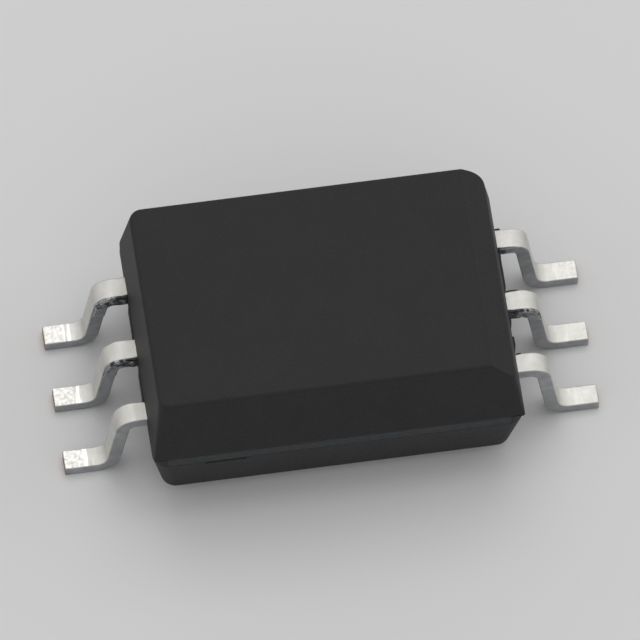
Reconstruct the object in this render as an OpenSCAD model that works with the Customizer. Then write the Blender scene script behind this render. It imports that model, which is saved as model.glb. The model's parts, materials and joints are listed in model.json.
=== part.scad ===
// Six-lead, wide-body surface-mount package of the optocoupler kind.
// A moulded body holds two facing lead frames: the emitter hangs over the detector,
// and clear silicone carries the light between them.
//
// Frame: X runs from lead row to lead row, Y runs along the rows, Z is up.
// The origin lies under the middle of the body, on the plane that the feet stand on.
// Leads 1 to 3 run along +X from front to back, leads 4 to 6 along -X from back to front.

/* [Body] */
// Length of the body from lead side to lead side, at the parting band
body_l = 6.75; // [6.6:0.05:7.2]
// Width of the body from end to end, at the parting band
body_w = 4.65; // [4.5:0.05:5.2]
// Height of the body from its underside to its top
body_h = 3.14; // [3.0:0.02:3.5]
// Gap between the seating plane and the underside of the body
standoff = 0.21; // [0.1:0.01:0.3]
// Share of the body's height that lies under the middle of the lead plane
low_share = 0.475; // [0.46:0.005:0.5]
// Draft of the upper half on the side of leads 4 to 6, in degrees
side_draft = 5.2; // [3:0.1:8]
// Draft of the upper half under the bevel, on the side of leads 1 to 3, in degrees
bevel_side_draft = 7.2; // [3:0.1:8]
// Draft of the two lead sides of the lower half, in degrees
low_side_draft = 9; // [3:0.1:9]
// Draft of the two ends of the upper half, in degrees
end_draft = 11.5; // [5:0.5:12]
// Draft of the two ends of the lower half, in degrees
low_end_draft = 10; // [5:0.5:12]
// Radius of the two back upright corners of the upper half
corner_r = 0.24; // [0.1:0.02:0.3]
// Radius of the two front upright corners of the upper half
front_corner_r = 0.14; // [0.1:0.02:0.3]
// Radius of the corners and bottom edges of the lower half
low_edge_r = 0.2; // [0.1:0.02:0.3]
// Width of the bevel along the top edge over leads 1 to 3
bevel = 0.4; // [0.3:0.01:0.5]

/* [Leads] */
// Distance between the lead tips of the two rows
lead_span = 9.75; // [9.4:0.05:10]
// Distance between neighbouring leads in a row
pitch = 1.27; // [1.2:0.01:1.32]
// Width of a lead
lead_w = 0.38; // [0.3:0.01:0.42]
// Thickness of the lead frame
lead_t = 0.25; // [0.2:0.01:0.26]
// Angle between a lead's leg and the upright, in degrees
leg_angle = 8; // [2:0.5:12]
// Distance from the tip of a foot to the outer face of its leg
foot_l = 0.72; // [0.6:0.02:0.8]
// Radius of the outer face of the shoulder bend
shoulder_r = 0.38; // [0.32:0.01:0.42]
// Radius of the inner face of the heel bend
heel_r = 0.22; // [0.15:0.01:0.25]
// Width that the cut dam bar leaves on each edge of a lead
dam_stub = 0.01; // [0.01:0.005:0.04]

/* [Inside] */
// Rise of the emitter frame and drop of the detector frame from the lead plane
frame_set = 0.65; // [0.6:0.01:0.7]
// Side of the square emitter die
emitter_side = 0.35; // [0.25:0.01:0.5]
// Thickness of the emitter die
emitter_t = 0.2; // [0.12:0.01:0.25]
// Size of the detector die along X
detector_x = 1.3; // [1.1:0.05:1.4]
// Size of the detector die along Y
detector_y = 1.4; // [1.1:0.05:1.4]
// Thickness of the detector die
detector_t = 0.26; // [0.2:0.01:0.3]
// Thickness of the cured die attach under each die
attach_t = 0.03; // [0.02:0.005:0.05]
// Diameter of the bond wires
wire_d = 0.05; // [0.04:0.005:0.06]

/* [Hidden] */

// Heights of the lead plane, of the body and of the two frames inside it
lead_z = standoff + body_h * low_share;
lead_top = lead_z + lead_t / 2;
lead_bottom = lead_z - lead_t / 2;
body_top = standoff + body_h;
emitter_level = lead_z + frame_set;
detector_level = lead_z - frame_set;
emitter_face = emitter_level - lead_t / 2;
detector_face = detector_level + lead_t / 2;

// Half sizes of the body at its parting band, top and underside
half_l = body_l / 2;
half_w = body_w / 2;
upper_h = body_top - lead_top;
lower_h = lead_bottom - standoff;
top_half_l = half_l - upper_h * tan(side_draft);
bevel_half_l = half_l - upper_h * tan(bevel_side_draft);
top_half_w = half_w - upper_h * tan(end_draft);
low_half_l = half_l - lower_h * tan(low_side_draft);
low_half_w = half_w - lower_h * tan(low_end_draft);

// Small breaks and seams of the moulding
edge_break = 0.04;
layer = 0.02;
flash = 0.04;
flash_gap = 0.06;
scar_x = -2.08;
scar_l = 0.76;
scar_h = 0.08;
scar_deep = 0.12;
ejector_d = 1.0;
ejector_deep = 0.04;

// Places of the frame pieces inside, measured from the middle of the body
ramp_far = 2.6;
ramp_near = 2.05;
ramp_lap = 0.3;
frame_edge = pitch + lead_w / 2;
die_margin = 0.2;
frame_gap = 0.24;
bond_in = 0.12;
guide_r = 1.45;
guide_waist = 0.12;

// Where the dam bar was cut from the leads
dam_gap = 0.05;
dam_l = 0.3;

// Emitter die under its paddle, and the paddle's edges
emitter_low = emitter_face - attach_t - emitter_t;
emitter_edge = emitter_side / 2 + die_margin;

// Detector die on its paddle, set back to leave room for the supply flag
detector_shift = 0.12;
detector_front = detector_shift - detector_y / 2;
detector_back = detector_shift + detector_y / 2;
detector_high = detector_face + attach_t + detector_t;
detector_edge = detector_x / 2 + die_margin;
flag_edge = die_margin + frame_gap - detector_front;

body_black = [0.16, 0.16, 0.17];
tin = [0.72, 0.71, 0.69];
gold = [0.85, 0.65, 0.25];
silicon = [0.33, 0.36, 0.42];
emitter_grey = [0.45, 0.40, 0.38];
silver_epoxy = [0.62, 0.62, 0.60];
clear = [0.85, 0.90, 0.92, 0.5];

$fn = 32;

// ---------------------------------------------------------------- body

// Puts its children on the four corners of a rectangle of the given half sizes
module on_corners(half_x, half_y, z) {
    for (sx = [-1, 1], sy = [-1, 1])
        translate([sx * half_x, sy * half_y, z]) children();
}

// Four upright posts in the corners of a level of the upper half, narrower at their tops by taper
module upper_posts(x1, x2, half_y, z, h, taper) {
    for (end = [-1, 1]) {
        r = end < 0 ? front_corner_r : corner_r;
        for (x = [x1 + r, x2 - r])
            translate([x, end * (half_y - r), z])
                cylinder(r1 = r, r2 = r - taper, h = h);
    }
}

// Upper half of the moulding: drafted walls, round corners and a slightly broken top edge
module upper_half() {
    hull() {
        upper_posts(-half_l, half_l, half_w, lead_top, layer, 0);
        upper_posts(-top_half_l, bevel_half_l, top_half_w, body_top - edge_break, edge_break, edge_break);
    }
}

// Lower half of the moulding: drafted walls that roll into the underside
module lower_half() {
    hull() {
        on_corners(half_l - low_edge_r, half_w - low_edge_r, lead_bottom - layer)
            cylinder(r = low_edge_r, h = layer);
        on_corners(low_half_l - low_edge_r, low_half_w - low_edge_r, standoff + low_edge_r)
            sphere(r = low_edge_r);
    }
}

// Upright band, as thick as the lead frame, between the two halves
module parting_band() {
    translate([0, 0, lead_bottom]) {
        linear_extrude(lead_t) {
            square([body_l - 2 * low_edge_r, body_w], center = true);
            square([body_l, body_w - 2 * low_edge_r], center = true);
            for (sx = [-1, 1], sy = [-1, 1])
                translate([sx * (half_l - low_edge_r), sy * (half_w - low_edge_r)])
                    circle(r = low_edge_r);
        }
    }
}

// Strips of resin that ran out between neighbouring leads up to the dam bar
module dam_flash() {
    strip = pitch - lead_w - 2 * flash_gap;
    for (side = [-1, 1], row = [-0.5, 0.5])
        translate([side * half_l, row * pitch, lead_z])
            cube([2 * flash, strip, lead_t], center = true);
}

// Wedge that takes the top edge off over leads 1 to 3
module bevel_cut() {
    translate([bevel_half_l - bevel, 0, body_top])
        rotate([0, 45, 0])
            translate([0, -body_w, 0])
                cube([body_l, 2 * body_w, body_l]);
}

// Slot that the gate left in the lower half, just under the band on the front end
module gate_scar() {
    translate([scar_x, -half_w, lead_bottom - scar_h / 2])
        cube([scar_l, 2 * scar_deep, scar_h], center = true);
}

// Shallow round mark of the ejector pin in the underside
module ejector_mark() {
    translate([0, 0, standoff - ejector_deep])
        cylinder(d = ejector_d, h = 2 * ejector_deep);
}

module body() {
    color(body_black)
        difference() {
            union() {
                upper_half();
                parting_band();
                lower_half();
                dam_flash();
            }
            bevel_cut();
            gate_scar();
            ejector_mark();
            guide_form();
            lead_1();
            lead_2();
            lead_3();
            lead_4();
            lead_5();
            lead_6();
        }
}

// ---------------------------------------------------------------- leads

// The outer face of the leg turns at the knee and at the heel, and these are its sharp corners
heel_x = lead_span / 2 - foot_l;
knee_x = heel_x - (lead_top - lead_t) * tan(leg_angle);
turn = 90 - leg_angle;

// Where the two bends have their centres, above the foot and below the shoulder
knee_centre = [knee_x - shoulder_r * tan(turn / 2), lead_top - shoulder_r];
heel_centre = [heel_x + heel_r * tan(turn / 2), lead_t + heel_r];

// Unit vector at an angle
function dir(angle) = [cos(angle), sin(angle)];

// Corner piece between an arc round the origin and the two straight lines that touch it.
// It reaches a little past the lines, so that it can be added to a strip or cut from it.
module spandrel(r, start) {
    reach = r + lead_t / 4;
    difference() {
        polygon([[0, 0], reach * dir(start),
                 reach / cos(turn / 2) * dir(start + turn / 2), reach * dir(start + turn)]);
        circle(r = r);
    }
}

// Side view of a gull wing, X outwards and Y up, from the plane x = start_x to the tip
module gull_wing(start_x) {
    tip_x = lead_span / 2;
    mitre = lead_t * tan(turn / 2);
    difference() {
        union() {
            polygon([[start_x, lead_top], [knee_x, lead_top], [heel_x, lead_t],
                     [tip_x, lead_t], [tip_x, 0], [heel_x - mitre, 0],
                     [knee_x - mitre, lead_bottom], [start_x, lead_bottom]]);
            translate(knee_centre) spandrel(shoulder_r - lead_t, leg_angle);
            translate(heel_centre) spandrel(heel_r, 180 + leg_angle);
        }
        translate(knee_centre) spandrel(shoulder_r, leg_angle);
        translate(heel_centre) spandrel(heel_r + lead_t, 180 + leg_angle);
    }
}

// Side view of the ramp that takes a frame strip from the lead plane to another level
module ramp(level) {
    slope = atan2(abs(level - lead_z), ramp_far - ramp_near);
    mitre = sign(level - lead_z) * lead_t / 2 * tan(slope / 2);
    polygon([[ramp_far + ramp_lap, lead_top],
             [ramp_far - mitre, lead_top],
             [ramp_near - mitre, level + lead_t / 2],
             [ramp_near - ramp_lap, level + lead_t / 2],
             [ramp_near - ramp_lap, level - lead_t / 2],
             [ramp_near + mitre, level - lead_t / 2],
             [ramp_far + mitre, lead_bottom],
             [ramp_far + ramp_lap, lead_bottom]]);
}

// Upright slice of a side view, from y1 to y2
module slice(y1, y2) {
    translate([0, y2, 0])
        rotate([90, 0, 0])
            linear_extrude(y2 - y1) children();
}

// Lead strip along +X in row -1, 0 or 1: gull wing, way inside, and stubs of the dam bar.
// The dam bar only ran between neighbours, so the outer edges of a row have no stub.
module strip(row, level) {
    y1 = row * pitch - lead_w / 2;
    y2 = row * pitch + lead_w / 2;
    slice(y1, y2) {
        gull_wing(ramp_far);
        if (level != lead_z) ramp(level);
    }
    slice(row > -1 ? y1 - dam_stub : y1, row < 1 ? y2 + dam_stub : y2)
        intersection() {
            gull_wing(ramp_far);
            translate([half_l + dam_gap, 0]) square([dam_l, body_h]);
        }
}

// Flat plate of a frame, between two X and two Y values, on a level
module plate(x1, x2, y1, y2, level) {
    translate([x1, y1, level - lead_t / 2])
        cube([x2 - x1, y2 - y1, lead_t]);
}

// Emitter frame, +X side: the wire's flag, a lead with no connection, and the paddle
module lead_1() {
    flag_back = -emitter_edge - frame_gap;
    color(tin) {
        strip(-1, emitter_level);
        plate(0, ramp_near, -frame_edge, lead_w - frame_edge, emitter_level);
        plate(-emitter_edge, emitter_edge, -frame_edge, flag_back, emitter_level);
    }
}

module lead_2() {
    color(tin) {
        strip(0, lead_z);
        plate(ramp_far - lead_w / 2, ramp_far + lead_w / 2, -lead_w, lead_w, lead_z);
    }
}

module lead_3() {
    color(tin) {
        strip(1, emitter_level);
        plate(0, ramp_near, frame_edge - lead_w, frame_edge, emitter_level);
        plate(-emitter_edge, emitter_edge, -emitter_edge, frame_edge, emitter_level);
    }
}

// Detector frame, -X side: the ground lead with its paddle, and the flags for output and supply
module lead_4() {
    color(tin) {
        mirror([1, 0, 0]) strip(1, detector_level);
        plate(-ramp_near, 0, frame_edge - lead_w, frame_edge, detector_level);
        plate(-detector_edge, detector_edge, detector_front - die_margin, frame_edge, detector_level);
    }
}

module lead_5() {
    color(tin) {
        mirror([1, 0, 0]) strip(0, detector_level);
        plate(-ramp_near, -detector_edge - frame_gap, -0.8 * lead_w, 0.8 * lead_w, detector_level);
    }
}

module lead_6() {
    color(tin) {
        mirror([1, 0, 0]) strip(-1, detector_level);
        plate(-ramp_near, 0, -frame_edge, -flag_edge, detector_level);
    }
}

// ---------------------------------------------------------------- dies, wires and light guide

module emitter_attach() {
    color(silver_epoxy)
        translate([0, 0, emitter_face - attach_t / 2])
            cube([emitter_side, emitter_side, attach_t], center = true);
}

module emitter_die() {
    color(emitter_grey)
        translate([0, 0, emitter_low + emitter_t / 2])
            cube([emitter_side, emitter_side, emitter_t], center = true);
}

module detector_attach() {
    color(silver_epoxy)
        translate([0, detector_shift, detector_face + attach_t / 2])
            cube([detector_x, detector_y, attach_t], center = true);
}

module detector_die() {
    color(silicon)
        translate([0, detector_shift, detector_high - detector_t / 2])
            cube([detector_x, detector_y, detector_t], center = true);
}

// Block under the surface at a wire's end, on the side away from the wire
module seat(point, up) {
    side = 6 * wire_d;
    translate(point - [0, 0, up * side / 2])
        cube(side, center = true);
}

// Bond wire from a die to its frame: a round bond, an arc and a flat stitch.
// The arc bows by rise off the straight line, upwards or, with a negative rise, downwards.
module bond_wire(from, to, rise) {
    up = sign(rise);
    run = to - from;
    chord = norm(run);
    arc_r = (pow(chord / 2, 2) + rise * rise) / (2 * abs(rise));
    lap = 8;
    sweep = 2 * (asin(chord / 2 / arc_r) + lap);
    color(gold)
        difference() {
            union() {
                translate((from + to) / 2)
                    rotate([0, -asin(run.z / chord), atan2(run.y, run.x)])
                        translate([0, 0, rise - up * arc_r])
                            rotate([90, 0, 0])
                                rotate(up * 90 - sweep / 2)
                                    rotate_extrude(angle = sweep)
                                        translate([arc_r, 0]) circle(d = wire_d);
                translate(from) cylinder(d = 2 * wire_d, h = 1.2 * wire_d, center = true);
                translate(to) cylinder(d = 2 * wire_d, h = 0.8 * wire_d, center = true);
            }
            seat(from, up);
            seat(to, up);
        }
}

module emitter_wire() {
    bond_wire([0, 0, emitter_low],
              [0, -emitter_edge - frame_gap - bond_in, emitter_face], -0.14);
}

module supply_wire() {
    bond_wire([-0.25, detector_front + bond_in, detector_high],
              [-0.25, -flag_edge - bond_in, detector_face], 0.2);
}

module output_wire(y) {
    bond_wire([bond_in - detector_x / 2, y, detector_high],
              [-detector_edge - frame_gap - bond_in, y, detector_face], 0.2);
}

module output_wire_a() {
    output_wire(-bond_in);
}

module output_wire_b() {
    output_wire(bond_in);
}

module ground_wire() {
    bond_wire([0.3, detector_back - bond_in, detector_high],
              [0.3, detector_back + bond_in + die_margin / 2, detector_face], 0.14);
}

// Round column of silicone between the two frames, drawn in at its waist
module guide_form() {
    guide_h = emitter_face - detector_face;
    waist_r = (pow(guide_h / 2, 2) + guide_waist * guide_waist) / (2 * guide_waist);
    rotate_extrude()
        difference() {
            translate([0, detector_face]) square([guide_r, guide_h]);
            translate([guide_r - guide_waist + waist_r, lead_z]) circle(r = waist_r);
        }
}

module light_guide() {
    color(clear)
        difference() {
            guide_form();
            emitter_attach();
            emitter_die();
            emitter_wire();
            detector_attach();
            detector_die();
            supply_wire();
            output_wire_a();
            output_wire_b();
            ground_wire();
        }
}

// ---------------------------------------------------------------- assembly

body();
light_guide();
lead_1();
lead_2();
lead_3();
lead_4();
lead_5();
lead_6();
emitter_attach();
emitter_die();
emitter_wire();
detector_attach();
detector_die();
supply_wire();
output_wire_a();
output_wire_b();
ground_wire();
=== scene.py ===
"""Looks of a six-lead, wide-body surface-mount package: moulded body, formed leads and the parts sealed inside.

Metres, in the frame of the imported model: X runs from lead row to lead row, Y along the rows, Z up.
The origin lies under the middle of the body, on the plane that the feet stand on."""

import json
import math

import bpy
import numpy as np
from mathutils import Matrix, Vector


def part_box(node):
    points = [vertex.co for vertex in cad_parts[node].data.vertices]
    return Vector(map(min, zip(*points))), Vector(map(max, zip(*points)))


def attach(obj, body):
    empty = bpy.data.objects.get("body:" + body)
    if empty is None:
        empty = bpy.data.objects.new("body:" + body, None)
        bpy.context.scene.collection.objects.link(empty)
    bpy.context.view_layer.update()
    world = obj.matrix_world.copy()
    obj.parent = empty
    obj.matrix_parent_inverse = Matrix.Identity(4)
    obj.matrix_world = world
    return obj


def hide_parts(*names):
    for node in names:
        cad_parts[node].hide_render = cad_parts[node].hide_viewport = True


bl_info = {
    "name": "Wide-body chip package",
    "version": (1, 0, 0),
    "blender": (4, 5, 0),
    "location": "3D View > Sidebar > Chip",
    "description": "Builds the moulded body, the formed leads, their finishes and the stage",
    "category": "Add Mesh",
}

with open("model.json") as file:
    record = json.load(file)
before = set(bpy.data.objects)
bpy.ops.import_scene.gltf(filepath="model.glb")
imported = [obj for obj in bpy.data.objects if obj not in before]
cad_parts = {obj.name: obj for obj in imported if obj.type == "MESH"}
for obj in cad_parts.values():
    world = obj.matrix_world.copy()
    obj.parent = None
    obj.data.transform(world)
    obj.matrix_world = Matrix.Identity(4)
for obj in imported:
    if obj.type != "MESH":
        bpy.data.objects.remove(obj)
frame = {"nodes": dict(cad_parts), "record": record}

MM = 1e-3
LEAD_COUNT = 6
HAIR = 0.003 * MM  # half the width of a sharp step in a surface

SIDE_STEP = 0.05 * MM  # distance between points along a lead side of the body
END_STEP = 0.035 * MM  # the same along an end
BEVEL_BLEND = 0.04 * MM  # width over which the wall turns into the bevel
LEAST_CORNER = 0.02 * MM  # smallest radius that a rolled corner keeps
BEVEL_ANGLE = math.radians(45)

RAMP_OUTER = 2.6 * MM  # distance from the middle at which a lead leaves its own level inside the body
RAMP_INNER = 2.05 * MM  # distance at which it has reached the level of its plates
RAMP_LAP = 0.3 * MM  # length by which the ramp runs on into the plates
DAM_EASE = 0.02 * MM  # softness of the cut dam bar's ends

FLASH_SEED, FINE_SEED, COARSE_SEED, GROOVE_SEED, CRUMB_SEED, RESIDUE_SEED = 11, 23, 29, 31, 40, 50


# ---------------------------------------------------------------- sizes and colours

def length_setting(name, size, text):
    """Setting of a length, whose default is given in millimetres."""
    return bpy.props.FloatProperty(name=name, description=text, default=size * MM, unit="LENGTH")


def angle_setting(name, degrees, text):
    """Setting of an angle, whose default is given in degrees."""
    return bpy.props.FloatProperty(
        name=name, description=text, default=math.radians(degrees), subtype="ANGLE")


def colour_setting(name, colour, text):
    """Setting of a colour."""
    return bpy.props.FloatVectorProperty(name=name, description=text, default=colour, subtype="COLOR")


class BodySizes(bpy.types.PropertyGroup):
    """Shape of the moulded body, beyond what its packed box says."""
    side_draft: angle_setting("Side draft", 5.2, "Lean of the upper half on the side of leads 4 to 6")
    bevel_side_draft: angle_setting(
        "Draft under the bevel", 7.2, "Lean of the upper half on the side of leads 1 to 3")
    low_side_draft: angle_setting("Lower side draft", 9, "Lean of the two lead sides of the lower half")
    end_draft: angle_setting("End draft", 11.5, "Lean of the two ends of the upper half")
    low_end_draft: angle_setting("Lower end draft", 10, "Lean of the two ends of the lower half")
    bevel_corner: length_setting(
        "Corner by lead 3", 0.33, "Radius of the back upright corner under the bevel")
    back_corner: length_setting(
        "Corner by lead 4", 0.24, "Radius of the other back upright corner of the upper half")
    front_corner: length_setting("Front corners", 0.16, "Radius of the front upright corners, at the top")
    lip_corner: length_setting(
        "Front lip", 0.05, "Radius of the front upright corners, just over the parting band")
    low_corner: length_setting("Lower corners", 0.27, "Radius of the upright corners of the lower half")
    low_roll: length_setting(
        "Bottom roll", 0.185, "Radius at which the lower walls turn into the underside")
    bevel: length_setting("Bevel", 0.40, "Width of the bevel along the top edge over leads 1 to 3")
    top_roll: length_setting("Top edge", 0.08, "Radius of the edges round the top face")
    flash: length_setting("Flash", 0.04, "How far the resin strips between the leads stand out")
    slot_height: length_setting(
        "Gate slot height", 0.08, "Height of the slot that the gate left in the front end")
    slot_depth: length_setting("Gate slot depth", 0.12, "Depth of that slot")
    mark_radius: length_setting("Ejector mark", 0.5, "Radius of the ejector pin's mark in the underside")
    mark_depth: length_setting("Ejector mark depth", 0.04, "Depth of the ejector pin's mark")


class LeadSizes(bpy.types.PropertyGroup):
    """Shape of the six leads, beyond what their packed boxes say."""
    thickness: length_setting("Thickness", 0.25, "Thickness of the lead frame")
    width: length_setting("Width", 0.38, "Width of a lead")
    leg_angle: angle_setting("Leg angle", 8, "Angle between a leg and the upright")
    foot: length_setting("Foot", 0.72, "Distance from the tip of a foot to the outer face of its leg")
    shoulder: length_setting("Shoulder radius", 0.38, "Radius of the outer face of the shoulder bend")
    heel: length_setting("Heel radius", 0.22, "Radius of the inner face of the heel bend")
    edge: length_setting("Edge radius", 0.022, "Radius of the stamped and plated edges")
    shelf_waist: length_setting(
        "Shelf waist", 0.007, "How much narrower each edge is at the body than at the foot")
    stub: length_setting("Dam stub", 0.01, "Width that the cut dam bar leaves on an inner edge")
    stub_start: length_setting("Dam start", 0.05, "Distance from the body to the cut dam bar")
    stub_length: length_setting("Dam length", 0.3, "Length of the cut dam bar along the lead")


class Finishes(bpy.types.PropertyGroup):
    """Colours of the finishes."""
    resin: colour_setting("Resin", (0.0125, 0.0122, 0.0128), "Moulding compound of the body")
    torn_resin: colour_setting(
        "Torn resin", (0.030, 0.034, 0.038), "Trimmed and broken compound along the parting band")
    tin: colour_setting("Tin", (0.56, 0.55, 0.52), "Matte tin plate of the leads")
    # Painted shade: a darker grey for the side faces of the leads, which get less light than their tops
    sheared: colour_setting(
        "Sheared edge", (0.36, 0.37, 0.38), "Plated edges that the stamping tool sheared")
    copper: colour_setting("Cut end", (0.22, 0.13, 0.08), "Bare copper alloy at the cut ends of the feet")


class StageSettings(bpy.types.PropertyGroup):
    """Camera, lamps and floor."""
    azimuth: angle_setting("Azimuth", -9.396, "Turn of the camera round the object, from the front")
    elevation: angle_setting("Elevation", 63.206, "Height of the camera above the horizon")
    roll: angle_setting("Roll", 1.19, "Turn of the camera about its own line of sight")
    distance: length_setting("Distance", 450, "Distance from the camera to the point that it looks at")
    view_width: length_setting("View width", 11.5454, "Width that the picture takes in at that point")
    aim: bpy.props.FloatVectorProperty(
        name="Aim", description="Point that the camera looks at",
        default=(0.0189 * MM, 0.2601 * MM, 1.5005 * MM), subtype="XYZ", unit="LENGTH", precision=6)
    floor: colour_setting("Floor", (0.93, 0.93, 0.93), "Colour of the floor and the backdrop")


# ---------------------------------------------------------------- places taken from the frame

def corners(node):
    """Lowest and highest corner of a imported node, as two arrays in metres."""
    low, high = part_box(node)
    return np.array(low), np.array(high)


def feet():
    """Row place (Y) and side (+1 or -1 in X) of each lead, from the feet that the record gives as mounts."""
    found = {}
    for mount in frame["record"]["mounts"]:
        if mount["name"].startswith("foot_"):
            x, y, _ = mount["pos_m"]
            found["lead_" + mount["name"][len("foot_"):]] = (y, math.copysign(1, x))
    return found


# ---------------------------------------------------------------- numbers along a line

def ragged(points, cell, seed):
    """Smooth random wave from -1 to 1: a random value every cell, joined by cosine steps, plus a finer half."""
    points = np.asarray(points, float)
    total = np.zeros(points.shape)
    for octave, share in enumerate((0.65, 0.35)):
        size = cell / 2 ** octave
        place = points / size + 1000
        left = np.floor(place).astype(int)
        values = np.random.default_rng(seed + octave).uniform(-1, 1, 4096)
        part = 0.5 - 0.5 * np.cos(np.pi * (place - left))
        total += share * (values[left % 4096] * (1 - part) + values[(left + 1) % 4096] * part)
    return total


def window(points, low, high, soft):
    """1 between low and high, 0 outside, with straight flanks that are soft wide."""
    rise = np.clip((points - low) / soft + 0.5, 0, 1)
    fall = np.clip((high - points) / soft + 0.5, 0, 1)
    return rise * fall


def stations(low, high, step, marks=()):
    """Even stations from low to high about step apart, with a close pair of stations at each mark."""
    even = np.linspace(low, high, max(2, round((high - low) / step) + 1))
    marks = np.array([m for m in marks if low + step < m < high - step])
    if not len(marks):
        return even
    clear = np.abs(even[:, None] - marks).min(axis=1) > step / 3
    pairs = np.concatenate([marks - HAIR, marks + HAIR])
    return np.sort(np.concatenate([even[clear], pairs]))


# ---------------------------------------------------------------- surfaces

def skin(rings):
    """Closed surface over rings of points, given as an array of rings, columns and X, Y, Z.

    Neighbouring rings are joined by quads, and the first and the last ring close on their own middle.
    Returns the points and the faces, which point outwards."""
    count, columns, _ = rings.shape
    points = np.concatenate([rings.reshape(-1, 3), rings[:1].mean(axis=1), rings[-1:].mean(axis=1)])
    first = count * columns
    ring = np.arange(count - 1)[:, None] * columns
    here = np.arange(columns)
    after = (here + 1) % columns
    quads = np.stack([ring + here, ring + after, ring + columns + after, ring + columns + here], axis=-1)
    top = (count - 1) * columns
    start = np.stack([np.full(columns, first), after, here], axis=-1)
    end = np.stack([np.full(columns, first + 1), top + here, top + after], axis=-1)
    faces = [quads.reshape(-1, 4), np.concatenate([start, end])]
    a, b, c = (points[faces[0][:, k]] for k in (0, 1, 2))
    d = points[faces[0][:, 3]]
    volume = np.einsum("ij,ij->", a, np.cross(b, c)) + np.einsum("ij,ij->", a, np.cross(c, d))
    if volume < 0:
        faces = [f[:, ::-1] for f in faces]
    return points, faces


def add_piece(name, parts, body="root"):
    """Object from one or more closed skins, each a pair of points and faces, with named values for each point.

    parts is a list of (points, faces, values), where values maps an attribute's name to one number a point."""
    points = np.concatenate([p for p, _, _ in parts])
    starts = np.cumsum([0] + [len(p) for p, _, _ in parts])
    faces = []
    for (_, groups, _), start in zip(parts, starts):
        for group in groups:
            faces.extend((group + start).tolist())
    mesh = bpy.data.meshes.new(name)
    mesh.from_pydata(points.tolist(), [], faces)
    for key in parts[0][2]:
        layer = mesh.attributes.new(key, "FLOAT", "POINT")
        layer.data.foreach_set("value", np.concatenate([v[key] for _, _, v in parts]).astype(np.float32))
    mesh.shade_smooth()
    mesh.validate()
    piece = bpy.data.objects.new(name, mesh)
    bpy.context.scene.collection.objects.link(piece)
    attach(piece, body)
    return piece


# ---------------------------------------------------------------- moulded body

def wall(z, half, foot_z, lean, face_z, radius):
    """Half size at height z of a wall that leans in from half at foot_z and rolls into the flat face at face_z.

    The line is half less the rise times the tangent of the lean. The roll is a circle that touches that line
    and the face: its middle lies one radius inside the face and radius / cos(lean) inside the line."""
    away = math.copysign(1, face_z - foot_z)
    slope = math.tan(lean)
    middle_z = face_z - away * radius
    middle = half - abs(middle_z - foot_z) * slope - radius / math.cos(lean)
    past = np.clip((z - middle_z) * away, 0, radius)
    line = half - np.abs(z - foot_z) * slope
    return np.where(past > radius * math.sin(lean), middle + np.sqrt(radius ** 2 - past ** 2), line)


def soft_min(a, b, width):
    """The smaller of a and b, blended by a parabola where they are less than width apart."""
    near = np.clip(width - np.abs(a - b), 0, None) / width
    return np.minimum(a, b) - near ** 2 * width / 4


def outline(x_low, x_high, y_half, corners_xy, shares_x, shares_y, turn_count):
    """Plan outlines, one for each height: straight sides joined by quarter ellipses, anticlockwise from above.

    corners_xy holds the half axes of the corners at (+X, -Y), (+X, +Y), (-X, +Y) and (-X, -Y).
    shares_x are the places along a lead side and shares_y those along an end, from 0 to 1.
    Returns the points, the side that each column is on (0 +X, 1 +Y, 2 -X, 3 -Y, -1 a corner)
    and each column's outward direction."""
    angles = np.radians(np.linspace(0, 90, turn_count + 2)[1:-1])
    (ax1, ay1), (ax2, ay2), (ax3, ay3), (ax4, ay4) = corners_xy

    def along(start, end, shares):
        return start[:, None] + (end - start)[:, None] * shares

    def level(value, shares):
        return np.repeat(value[:, None], len(shares), axis=1)

    def quarter(sign_x, sign_y, edge_x, edge_y, ax, ay, first):
        turn = angles + math.radians(first)
        x = (edge_x - sign_x * ax)[:, None] + ax[:, None] * np.cos(turn)
        y = (edge_y - sign_y * ay)[:, None] + ay[:, None] * np.sin(turn)
        return x, y

    xs, ys, sides, ways = [], [], [], []

    def put(pair, side, way):
        xs.append(pair[0])
        ys.append(pair[1])
        sides.append(np.full(pair[0].shape[1], side))
        ways.append(np.broadcast_to(way, (pair[0].shape[1], 2)))

    def turned(first):
        return np.stack([np.cos(angles + math.radians(first)), np.sin(angles + math.radians(first))], axis=-1)

    put((level(x_high, shares_x), along(-y_half + ay1, y_half - ay2, shares_x)), 0, (1, 0))
    put(quarter(1, 1, x_high, y_half, ax2, ay2, 0), -1, turned(0))
    put((along(x_high - ax2, x_low + ax3, 1 - shares_y[::-1]), level(y_half, shares_y)), 1, (0, 1))
    put(quarter(-1, 1, x_low, y_half, ax3, ay3, 90), -1, turned(90))
    put((level(x_low, shares_x), along(y_half - ay3, -y_half + ay4, 1 - shares_x[::-1])), 2, (-1, 0))
    put(quarter(-1, -1, x_low, -y_half, ax4, ay4, 180), -1, turned(180))
    put((along(x_low + ax4, x_high - ax1, shares_y), level(-y_half, shares_y)), 3, (0, -1))
    put(quarter(1, -1, x_high, -y_half, ax1, ay1, 270), -1, turned(270))
    points = np.stack([np.concatenate(xs, axis=1), np.concatenate(ys, axis=1)], axis=-1)
    return points, np.concatenate(sides), np.concatenate(ways)


# Resin strips between the leads: side, start and end along Y, and share of the full flash
STRIPS = (
    (1, 0.30 * MM, 0.975 * MM, 1.0),
    (1, -0.43 * MM, -0.21 * MM, 0.85),
    (1, -0.90 * MM, -0.72 * MM, 0.95),
    (-1, 0.28 * MM, 0.84 * MM, 0.6),
    (-1, -1.00 * MM, -0.44 * MM, 0.6),
)
SLOT = (-2.46 * MM, -1.70 * MM)  # the gate's slot along X, which tapers to nothing at its left end


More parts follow.
